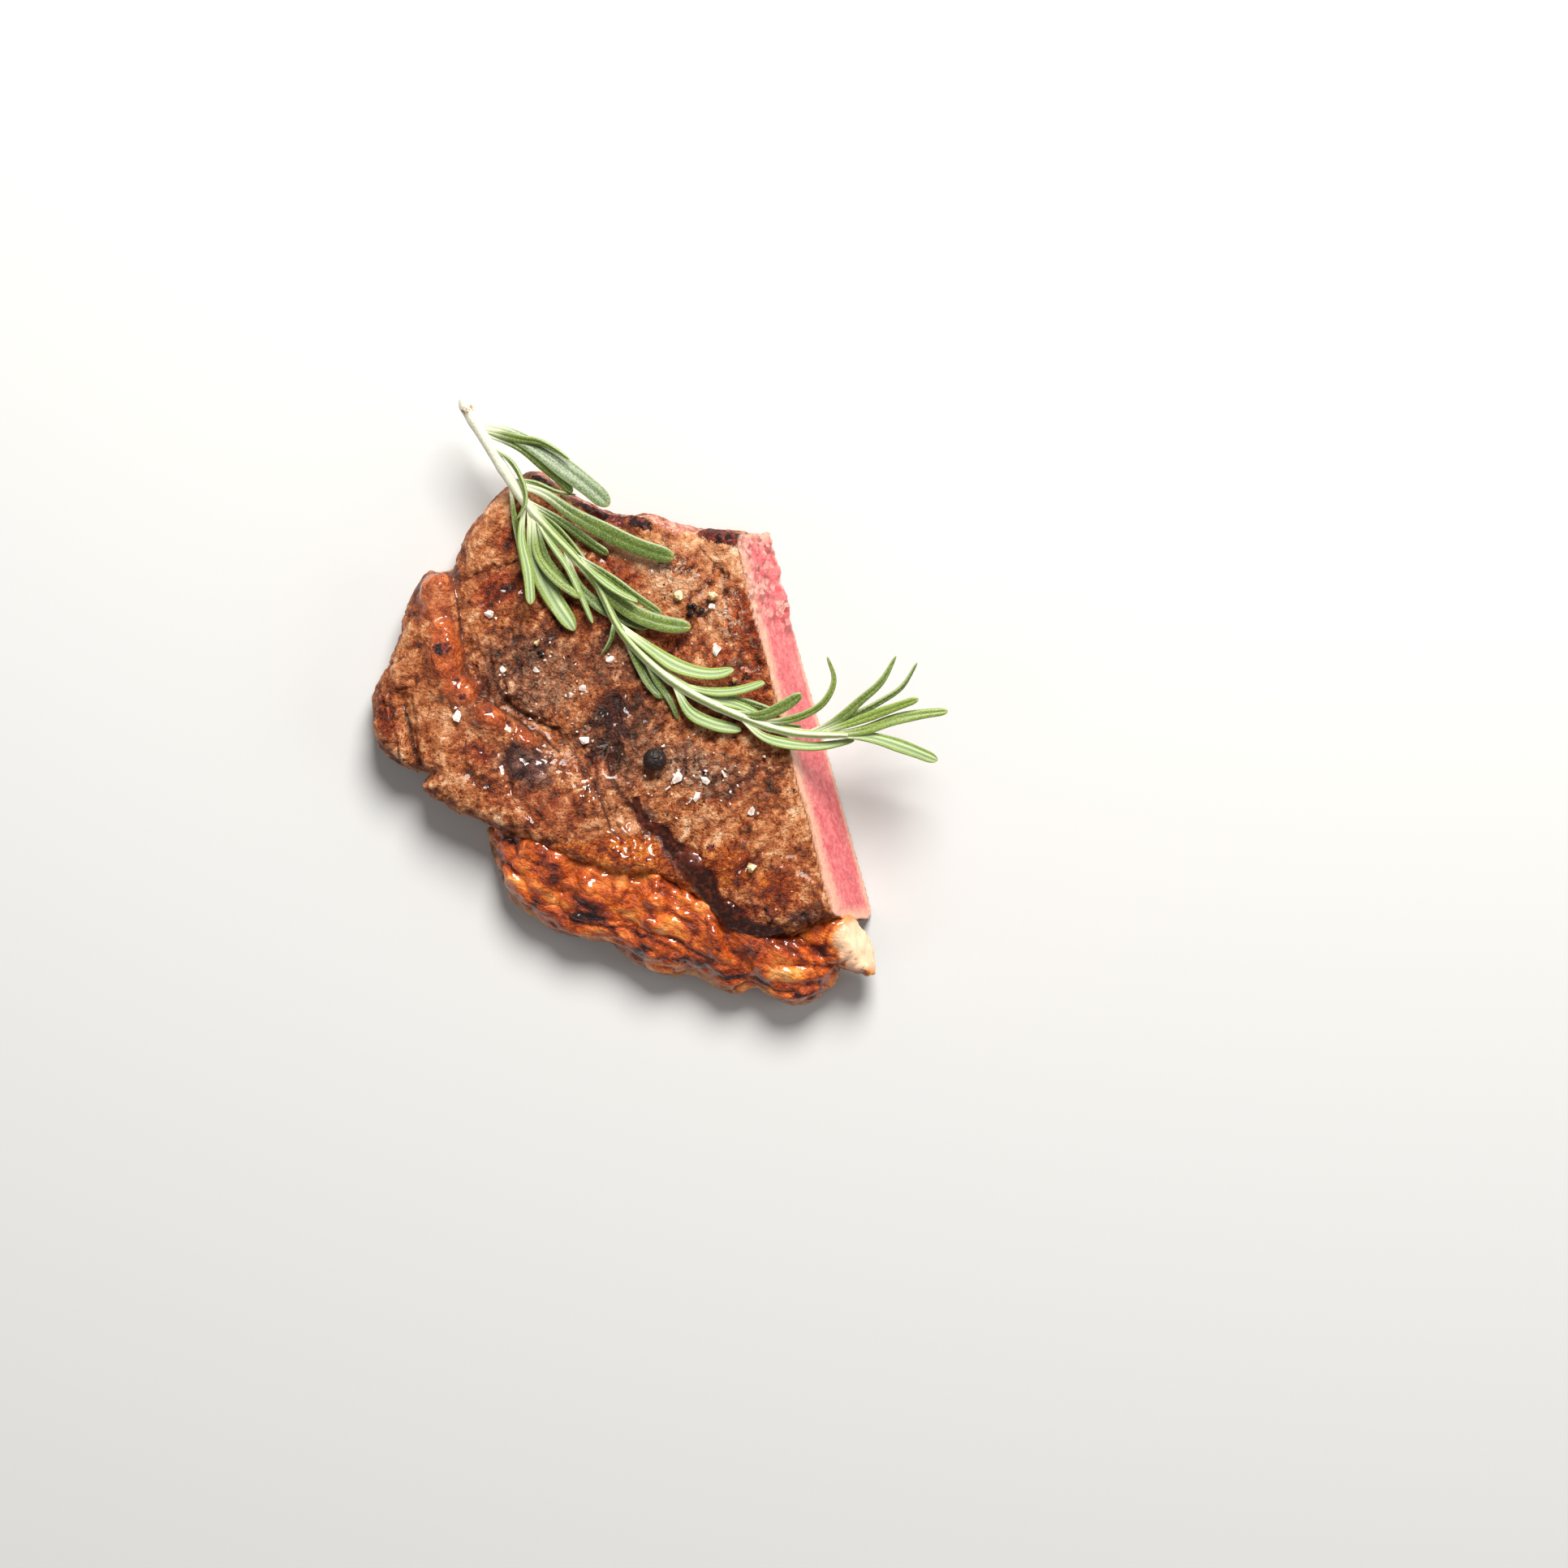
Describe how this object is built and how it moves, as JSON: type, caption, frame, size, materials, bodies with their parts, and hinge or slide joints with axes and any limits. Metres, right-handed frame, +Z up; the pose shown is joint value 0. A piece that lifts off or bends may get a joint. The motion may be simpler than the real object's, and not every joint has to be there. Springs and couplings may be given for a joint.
{
  "type": "seared striploin steak",
  "caption": "Seared striploin steak with a slanting pink cut face, a browned fat cap on one edge, salt and pepper, and a rosemary sprig on top.",
  "frame": {"origin": "centre of the bounding box, on the flat underside that the steak rests on", "axes": "+Z up from the underside to the seared top, +X towards the cut face, +Y away from the fat cap, towards the bare end of the rosemary stem"},
  "size_m": [0.1282, 0.1358, 0.0252],
  "materials": {
    "seared_meat": "moist browned crust, pink where it is cut",
    "browned_fat": "oily golden brown, cream where it is cut",
    "herb": "fresh leaf, satin above and felted below",
    "salt": "clear white crystal",
    "black_pepper": "wrinkled dry husk",
    "white_pepper": "dull cream"
  },
  "bodies": {
    "root": {"lean_meat": "seared_meat", "fat_cap": "browned_fat", "rosemary_sprig": "herb"}
  },
  "joints": []
}
